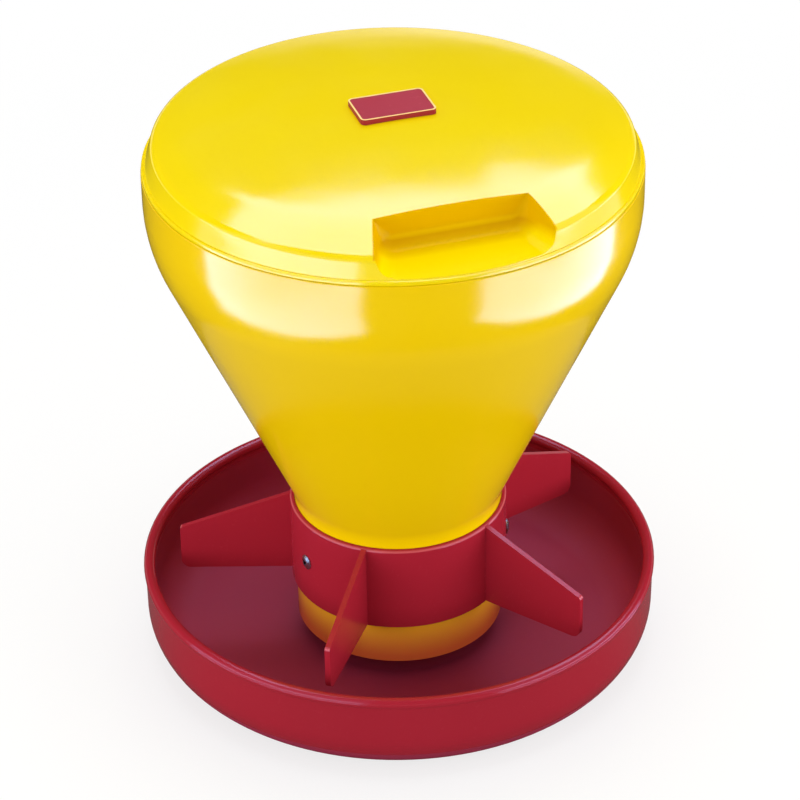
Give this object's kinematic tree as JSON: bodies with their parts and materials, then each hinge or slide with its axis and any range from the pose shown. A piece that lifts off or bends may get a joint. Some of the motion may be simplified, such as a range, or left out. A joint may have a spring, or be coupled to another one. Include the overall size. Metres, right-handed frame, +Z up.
{
  "type": "pan feeder",
  "caption": "Free-standing round feeder: a funnel hopper with a domed lid feeds a shallow pan through a neck whose riveted collar carries fins that part the pan.",
  "frame": {"origin": "centre of the pan's base, on the ground", "axes": "+Z up along the feeder's axis, -Y towards the grip pocket of the lid, +X to its right"},
  "size_m": [0.27, 0.27, 0.3115],
  "materials": {
    "yellow_plastic": "smooth gloss, moulded",
    "red_plastic": "smooth satin gloss, moulded",
    "badge_red": "satin, with a pale raised edge",
    "rivet_metal": "bright",
    "plated_steel": "zinc plated"
  },
  "bodies": {
    "root": {"pan": "red_plastic", "hopper": "yellow_plastic", "fin_collar": "red_plastic", "collar_rivets": "rivet_metal", "lid": "yellow_plastic", "lid_badge": "badge_red", "tie_bolt": "plated_steel", "tie_washers": "plated_steel", "wing_nut": "plated_steel"}
  },
  "joints": []
}
